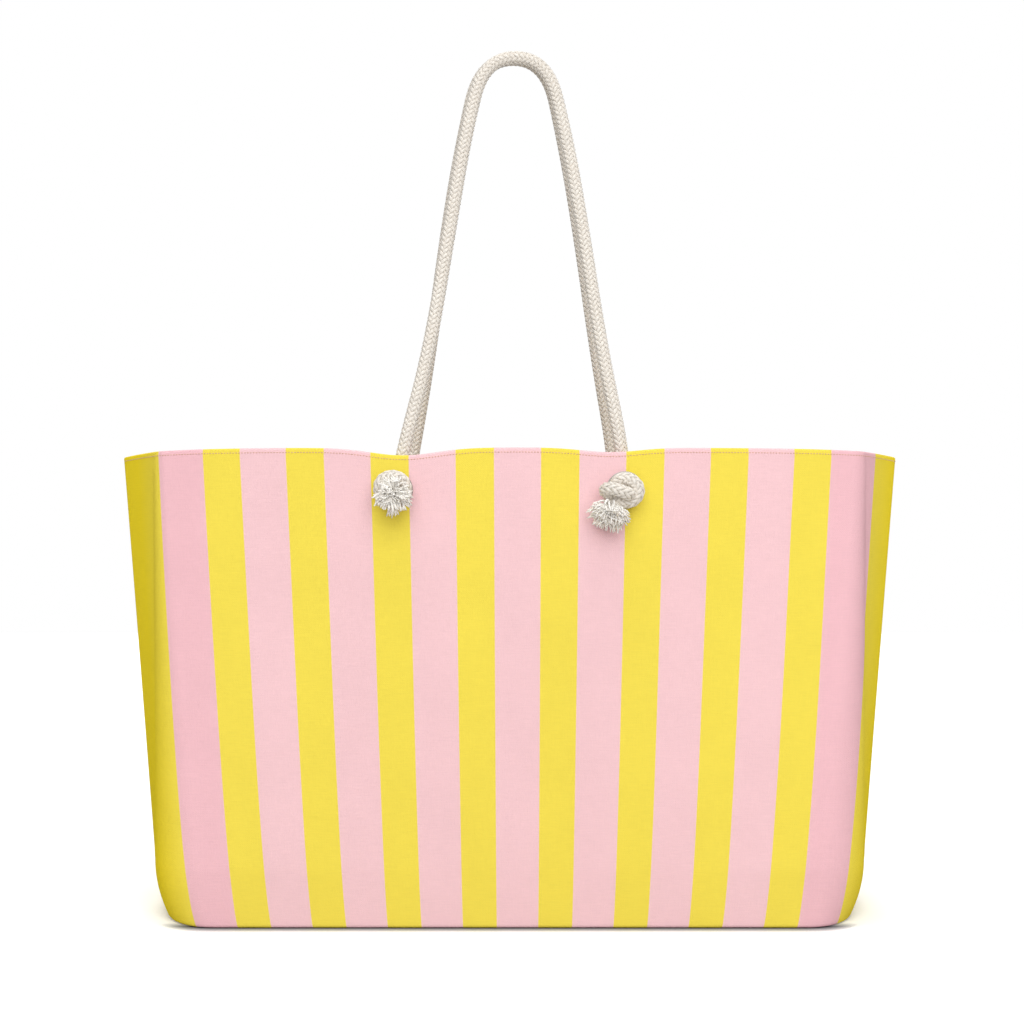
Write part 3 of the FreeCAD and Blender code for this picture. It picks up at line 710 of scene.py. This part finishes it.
# %% Cloth finishes
YELLOW = srgb(248, 226, 87)
PINK = srgb(249, 206, 210)
# Painted shade: deeper copies of pink and yellow for the outermost pink stripes and the yellow gussets,
# which turn away from the light.
SHADED_PINK = srgb(246, 195, 202)
SHADED_YELLOW = srgb(254, 227, 50)
PINK_HALF_SHARE = 0.275
PRINT_BLUR = 0.003
# Where the painted shade comes in, in periods from the middle of the print.
OUTER_SHADE = (3.2, 3.8)
GUSSET_SHADE = (4.25, 4.55)
SLUB_SHARE = 0.7
WARP_SHARE = 0.4
WEAVE_SHARE = 0.35
THREAD_TINT = 0.16
DYE_TINT = 0.07
LEAST_TINT = 0.87
CLOTH_RELIEF = 0.16 * MM


def woven(name, colour, threads_in_metre, sheen):
    """Cloth: threads as a fine checked relief, slubs as stretched noise, dye as slow noise."""
    finish = Finish(name, 0.85, sheen)
    place = finish.placed((threads_in_metre, threads_in_metre, 1))
    weave = finish.node("TexChecker", {"Vector": place, "Scale": 1.0}).outputs["Fac"]
    slubs = finish.noise((90, 1500, 1), 3.0)
    warps = finish.noise((1500, 70, 1), 2.0)
    dye = finish.noise((25, 25, 1), 2.0)
    threads = finish.maths("ADD", finish.maths("MULTIPLY", slubs, SLUB_SHARE),
                           finish.maths("MULTIPLY", warps, WARP_SHARE))
    base = colour(finish) if callable(colour) else colour[:3]
    shade = finish.maths("ADD", finish.maths("MULTIPLY", threads, THREAD_TINT),
                         finish.maths("MULTIPLY", dye, DYE_TINT))
    shade = finish.maths("ADD", shade, LEAST_TINT)
    tint = finish.node("VectorMath", {0: base, "Scale": shade}, operation="SCALE").outputs[0]
    relief = finish.maths("ADD", threads, finish.maths("MULTIPLY", weave, WEAVE_SHARE))
    return finish.finish(tint, relief, CLOTH_RELIEF)


def striped(finish):
    """Pink where the print is within its half share of a whole period, else yellow.

    The outermost pink stripes and the yellow gussets get deeper copies of their colours: painted shade
    where the cloth turns away from the light."""
    print_place = finish.node("Attribute", attribute_name="stripe").outputs["Fac"]
    near = finish.maths("PINGPONG", print_place, 0.5)
    outward = finish.maths("ABSOLUTE", print_place)
    edge, outer, gusset = (
        finish.node("MapRange", {"Value": value, "From Min": low, "From Max": high}).outputs[0]
        for value, (low, high) in (
            (near, (PINK_HALF_SHARE - PRINT_BLUR, PINK_HALF_SHARE + PRINT_BLUR)),
            (outward, OUTER_SHADE), (outward, GUSSET_SHADE)))
    return finish.blend(edge, finish.blend(outer, PINK, SHADED_PINK),
                        finish.blend(gusset, YELLOW, SHADED_YELLOW))


canvas_material = woven("striped canvas", striped, 1300, 0.0)
lining_material = woven("lining cotton", srgb(236, 228, 210), 1700, 0.05)
stiffener_material = woven("stiffener", srgb(214, 210, 204), 900, 0.0)
print("cloth finishes:", canvas_material.name, lining_material.name, stiffener_material.name)

# %% [markdown]
# A cloth piece starts as a grid with no thickness, so its shape is easy to work out and its UV map is
# simply the way across and the way down, in metres. Holes are left where the eyelets go through,
# doubled points are welded, and the solidify modifier then gives the thickness inwards.

# %% Cloth pieces
HOLE_RADIUS = 9.5 * MM
BASE_LEAN = 8 * MM
WELD = 0.02 * MM
SIDE_STEPS = np.append([0, 0.015, 0.035, 0.07], np.linspace(0.12, 0.94, 15))
HALF_STEPS = np.concatenate([SIDE_STEPS, np.linspace(1, 1.95, 20), np.linspace(2, 2.5, 91)])
ROUND = np.append(HALF_STEPS, 5 - HALF_STEPS[-2::-1])


def eyelet_points(side):
    """The middle of each eyelet in one half of the bag."""
    word = "front" if side == 1 else "back"
    boxes = [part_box("%s_%s_eyelet" % (word, place)) for place in ("left", "right")]
    return [np.array((low + high) / 2) for low, high in boxes]


def cloth_piece(name, points, material, thickness, side, replaced, slot, punched=False):
    """A grid of points as cloth with a thickness, with holes under the eyelets' flanges.

    Gives the piece and its flat width and height: the lengths of one row and the middle column."""
    rows, columns = points.shape[:2]
    faces = grid_faces(rows, columns)
    flat = points.reshape(-1, 3)
    if punched:
        middle = flat[faces].mean(axis=1)
        for spot in eyelet_points(side):
            off = np.hypot(middle[:, 0] - spot[0], middle[:, 2] - spot[2])
            keep = (off > HOLE_RADIUS) | (middle[:, 1] * spot[1] < 0)
            faces, middle = faces[keep], middle[keep]
    middle_row, middle_column = points[rows // 3], points[:, columns // 2]
    u = np.append(0, np.cumsum(np.linalg.norm(np.diff(middle_row, axis=0), axis=1)))
    v = np.append(0, np.cumsum(np.linalg.norm(np.diff(middle_column, axis=0), axis=1)))
    uv = np.stack(np.broadcast_arrays(u[None, :], v[:, None]), -1).reshape(-1, 2)[faces]
    used, faces = np.unique(faces, return_inverse=True)
    faces = faces.reshape(-1, 4)
    piece = new_piece(name, flat[used], faces, uv, material, "bag", slot,
                      stripe=stripe(flat[used], side))
    cloth = bmesh.new()
    cloth.from_mesh(piece.data)
    bmesh.ops.remove_doubles(cloth, verts=cloth.verts, dist=WELD)
    cloth.to_mesh(piece.data)
    cloth.free()
    solid = piece.modifiers.new("thickness", "SOLIDIFY")
    solid.thickness = thickness
    solid.offset = -1
    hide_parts(replaced)
    print(name, "triangles about", 4 * len(faces), "flat", round(u[-1], 3), "by", round(v[-1], 3))
    return piece, (float(u[-1]), float(v[-1]))


def base_rows(edge, rows):
    """Rows that carry the lowest row of a wall in to the middle of the base.

    A point goes straight in, but leans a little to the middle where it starts on the side."""
    share = np.linspace(1, 0, rows + 1)[1:, None]
    s = np.minimum(ROUND, 5 - ROUND)
    lean = BASE_LEAN * np.clip(s, 0, 1) * np.clip(5 - 2 * s, 0, 1)
    x = edge[:, 0] - np.sign(edge[:, 0]) * lean * (1 - share)
    return np.stack(np.broadcast_arrays(x, edge[:, 1] * share, edge[:, 2]), -1)


print("points round a half:", len(ROUND))

# %% [markdown]
# Each half of the canvas is one cut piece: a short hem inside the rim, the fold over the rim, the wall,
# a rounded lower edge and half of the base. It is held out by the stiffener, so it is built in its
# final shape; a cloth simulation would pull the printed stripes out of line.

# %% Canvas
EDGE_ROUND = 2.6 * MM
FOLD = 1.15 * MM
CANVAS_THICK = 0.8 * MM
SEAM_TUCK = 0.5 * MM
SEAM_REACH = 0.03
SEAM_LIFT = 0.8 * MM
SEAM_WIDTH = 1.5 * MM
UNDER_FOLD = np.array([2.2, 3.4, 5, 7]) * MM
WALL_ROWS = 112
BASE_ROWS = 24


def seam_tuck(t):
    """How far the canvas turns in at the side seams: it dies away over a millimetre or two."""
    return SEAM_TUCK * np.exp(-(np.minimum(t, 5 - t) / SEAM_REACH))


def canvas_points(side):
    """Hem, fold over the rim, wall, rounded lower edge and half of the base, as one grid.

    The fold is a half circle and the lower edge a quarter circle, both given as height and inset
    by a sine and a cosine. The middle seam of the base is pulled up a little."""
    over = np.linspace(0, np.pi, 7)
    heights = np.concatenate([
        [RIM_HEIGHT - 3 * MM], RIM_HEIGHT - FOLD + FOLD * np.sin(over),
        RIM_HEIGHT - UNDER_FOLD, np.linspace(RIM_HEIGHT - 9.5 * MM, EDGE_ROUND, WALL_ROWS)])
    flat_rows = np.zeros(len(UNDER_FOLD) + WALL_ROWS)
    insets = np.concatenate([[2 * FOLD], FOLD + FOLD * np.cos(over), flat_rows])
    under = np.linspace(0, np.pi / 2, 7)[1:]
    heights = np.append(heights, EDGE_ROUND * (1 - np.sin(under)))
    insets = np.append(insets, EDGE_ROUND * (1 - np.cos(under)))
    sheet = wall(ROUND, heights[:, None], insets[:, None] + seam_tuck(ROUND), side)
    floor_part = base_rows(sheet[-1], BASE_ROWS)
    floor_part[..., 2] += SEAM_LIFT * np.exp(-np.abs(floor_part[..., 1]) / SEAM_WIDTH)
    return np.concatenate([sheet, floor_part])


for word, side in SIDES.items():
    canvas, flat = cloth_piece(word + "_canvas", canvas_points(side), canvas_material,
                               CANVAS_THICK, side, word + "_panel", "striped_canvas", True)

# %% [markdown]
# ## Inside the canvas
# A stiffener lies between canvas and lining and keeps the bag upright. Round the rim a canvas facing
# takes the eyelets; below it hangs the lining, which is cut a little full, so it stands in soft folds.
# All of them are the same wall function with a larger inset.

# %% Stiffener, facing and lining
STIFFENER_INSET = 1.25 * MM
LINING_INSET = 2.1 * MM
FACING_DEPTH = 35 * MM
LINING_FLOOR = 4.35 * MM
FULLNESS = 1.6 * MM
STIFFENER_THICK = 0.6 * MM
LINING_THICK = 0.7 * MM
INNER_BASE_ROWS = 14


def inner_points(side, top, floor, inset, rows, fullness=0.0):
    """A wall from top down to a level floor, and the floor in to the middle.

    fullness adds folds to the inset: the square of a slow sine across, more in the middle."""
    heights = np.linspace(top, floor, rows)[:, None]
    share = np.clip((heights - floor) / (top - floor), 0, 1)
    folds = np.sin(ROUND * 7.3 + heights / (90 * MM)) ** 2 + 0.6 * np.sin(
        ROUND * 15.1 - heights / (60 * MM)) ** 2
    soft = fullness * folds * np.sin(np.pi * share) ** 0.7
    sheet = wall(ROUND, heights, inset, side, soft)
    sheet[..., 2] = np.maximum(sheet[..., 2], floor)
    return np.concatenate([sheet, base_rows(sheet[-1], INNER_BASE_ROWS)])


def facing_points(side):
    """The strip from just under the fold of the rim down to the top of the lining."""
    heights = np.linspace(RIM_HEIGHT - 1.2 * MM, RIM_HEIGHT - FACING_DEPTH, 16)[:, None]
    return wall(ROUND, heights, LINING_INSET + 0.35 * MM, side)


for word, side in SIDES.items():
    points = inner_points(side, RIM_HEIGHT - 2.5 * MM, STIFFENER_INSET, STIFFENER_INSET, 40)
    stiffener, flat = cloth_piece(word + "_stiffener", points, stiffener_material, STIFFENER_THICK,
                                  side, word + "_interlining", "interlining", True)
    facing, flat = cloth_piece(word + "_facing", facing_points(side), canvas_material,
                               LINING_THICK, side, word + "_rim_facing", "striped_canvas", True)
    points = inner_points(side, RIM_HEIGHT - FACING_DEPTH + 1 * MM, LINING_FLOOR,
                          LINING_INSET + 1.2 * MM, 60, FULLNESS)
    lining, flat = cloth_piece(word + "_lining_cloth", points, lining_material, LINING_THICK, side,
                               word + "_lining", "lining_cloth")

# %% [markdown]
# ## Stitching
# The rim is topstitched a few millimetres under its edge. Each stitch is a short round thread that
# dives into the cloth at both ends, and the same stitches show on the facing inside.

# %% Stitches
STITCH_PITCH = 2.1 * MM
THREAD_RADIUS = 0.26 * MM
TOPSTITCH_DROP = 3 * MM
STITCH_POINTS = 5
STITCH_RISE = np.array([-0.25, 0.12, 0.22, 0.12, -0.25]) * MM


def stitched(line, outward):
    """Stitches along a line: every sixth step is the gap. Ends sink in, middles stand proud."""
    line, _ = evenly(line, STITCH_PITCH / (STITCH_POINTS + 1))
    count = len(line) // (STITCH_POINTS + 1)
    lines = line[:count * (STITCH_POINTS + 1)].reshape(count, STITCH_POINTS + 1, 3)
    lines = lines[:, :STITCH_POINTS]
    along = unit(lines[:, -1] - lines[:, 0])
    normal = unit(np.cross(along, outward))
    lines = lines + normal[:, None] * STITCH_RISE[:, None]
    return swept(lines, np.broadcast_to(normal[:, None], lines.shape), THREAD_RADIUS,
                 THREAD_RADIUS * 0.8, 6)


def joined(parts):
    """Several sets of points, faces and UVs as one."""
    starts = np.cumsum([0] + [len(part[0]) for part in parts])
    return (np.concatenate([part[0] for part in parts]),
            np.concatenate([part[1] + start for part, start in zip(parts, starts)]),
            np.concatenate([part[2] for part in parts]))


TWIST_RELIEF = 0.05 * MM
thread_finish = Finish("sewing thread", 0.6, 0.1)
twist = thread_finish.noise((3000, 900, 1), 1.0)
thread_material = thread_finish.finish(
    thread_finish.blend(twist, srgb(206, 162, 136), srgb(224, 184, 158)), twist, TWIST_RELIEF)
lining_thread = Finish("lining thread", 0.6, 0.1)
twist = lining_thread.noise((3000, 900, 1), 1.0)
lining_thread_material = lining_thread.finish(
    lining_thread.blend(twist, srgb(205, 194, 170), srgb(226, 217, 196)), twist, TWIST_RELIEF)

DENSE = np.linspace(0.02, 4.98, 900)
for word, side in SIDES.items():
    outer = wall(DENSE, RIM_HEIGHT - TOPSTITCH_DROP, 0.0, side)
    inner = wall(DENSE, RIM_HEIGHT - TOPSTITCH_DROP, LINING_INSET + 1.05 * MM, side)
    points, faces, uv = joined([stitched(outer, (0, 0, -1)), stitched(inner, (0, 0, 1))])
    stitches = new_piece(word + "_topstitching", points, faces, uv, thread_material, "bag", "thread")
    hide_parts(word + "_rim_topstitching")
    print(stitches.name, "triangles", 2 * len(faces))

# %% [markdown]
# ## Slip pocket and label
# A flat pocket is sewn on the back lining: a patch with a turned top edge that gapes a little, and
# stitching round the other three sides. A blank folded tape is caught in the left side seam.

# %% Pocket
POCKET_HALF_WIDTH = 90 * MM
POCKET_TOP = 262 * MM
POCKET_BOTTOM = 130 * MM
POCKET_GAPE = 5 * MM
POCKET_HEM = 12 * MM
POCKET_ROOM = LINING_INSET + 4.6 * MM
POCKET_SEAM = 3 * MM
PROUD = 0.8 * MM


def pocket_wall(x, height, extra):
    """The wall of the back half at a distance across instead of a way round."""
    share = np.clip((height - BELLY_HEIGHT) / (RIM_HEIGHT - BELLY_HEIGHT), 0, 1)
    reach = (BELLY_HALF_WIDTH - BELLY_CORNER) * (1 - share) + CREASE_FRONT[0] * share
    return wall(2.5 - 0.5 * x / reach, height, POCKET_ROOM + extra, -1)


across = np.linspace(1, -1, 61)[None, :] * POCKET_HALF_WIDTH
heights = np.append(POCKET_TOP + np.array([0.2, 0.5, 0.2]) * MM,
                    np.linspace(POCKET_TOP - 1 * MM, POCKET_BOTTOM, 45))[:, None]
rise = (heights - POCKET_BOTTOM) / (POCKET_TOP - POCKET_BOTTOM)
gape = POCKET_GAPE * np.clip(rise, 0, 1) ** 4 * np.cos(across / POCKET_HALF_WIDTH * np.pi / 2)
roll = np.append(np.array([-1.2, -0.6, 0.0]) * MM, np.zeros(45))[:, None]
pocket, flat = cloth_piece("slip_pocket", pocket_wall(across, heights, gape + roll),
                           lining_material, LINING_THICK, -1, "inner_pocket", "lining_cloth")

# %% Pocket stitches
inside = POCKET_HALF_WIDTH - POCKET_SEAM
down = np.linspace(POCKET_TOP - 2 * MM, POCKET_BOTTOM + POCKET_SEAM, 60)
over = np.linspace(inside, -inside, 60)


def pocket_line(x, height):
    """Stitch points on the pocket's inner face."""
    share = np.clip((height - POCKET_BOTTOM) / (POCKET_TOP - POCKET_BOTTOM), 0, 1)
    open_by = POCKET_GAPE * share ** 4 * np.cos(x / POCKET_HALF_WIDTH * np.pi / 2)
    return pocket_wall(x, height, open_by + PROUD)


rows = [stitched(pocket_line(inside, down), (1, 0, 0)),
        stitched(pocket_line(-inside, down), (1, 0, 0)),
        stitched(pocket_line(over, POCKET_BOTTOM + POCKET_SEAM), (0, 0, 1)),
        stitched(pocket_line(over, POCKET_TOP - POCKET_HEM), (0, 0, 1))]
points, faces, uv = joined(rows)
pocket_stitches = new_piece("pocket_stitching", points, faces, uv, lining_thread_material, "bag",
                            "thread")
print(pocket_stitches.name, "triangles", 2 * len(faces))

# %% Label
LABEL_CURL = 3 * MM
LABEL_LEAN = 1.2 * MM
TAPE_THICK = 0.5 * MM

label_low, label_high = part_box("care_label")
tape = Finish("label tape", 0.35, 0.2)
weft = tape.noise((400, 2500, 1), 1.0)
tape_material = tape.finish(tape.blend(weft, srgb(238, 237, 232), srgb(250, 249, 246)), weft,
                            TWIST_RELIEF)
along = np.linspace(0, 1, 19)[None, :]
up = np.linspace(0, 1, 10)[:, None]
curl = LABEL_CURL * np.sin(along * 2.6) * along - LABEL_LEAN * along * up
label_points = np.stack(np.broadcast_arrays(
    label_low.x + (label_high.x - label_low.x) * along, curl,
    label_low.z + (label_high.z - label_low.z) * up), -1)
label, flat = cloth_piece("folded_label", label_points, tape_material, TAPE_THICK, 1,
                          "care_label", "label_tape")

# %% [markdown]
# ## Metal and board
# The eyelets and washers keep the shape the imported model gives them. They are pressed from thin sheet
# and plated, so they get a satin metal with fine turning marks. The board lies under the lining.

# %% Finishes for kept nodes
metal = Finish("satin nickel", 0.4, metallic=1.0)
marks = metal.noise((2500, 2500, 200), 2.0, uv=False)
metal_material = metal.finish(metal.blend(marks, srgb(138, 134, 130), srgb(178, 174, 168)), marks,
                              0.02 * MM)
board = Finish("board", 0.55)
grain = board.noise((300, 300, 300), 3.0, uv=False)
board_material = board.finish(board.blend(grain, srgb(205, 201, 190), srgb(224, 220, 208)), grain,
                              0.05 * MM)
KEPT = {"eyelet": metal_material, "washer": metal_material, "base_board": board_material}
for title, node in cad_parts.items():
    for ending, material in KEPT.items():
        if title.endswith(ending):
            node.data.materials.clear()
            node.data.materials.append(material)
print("metal and board finished")
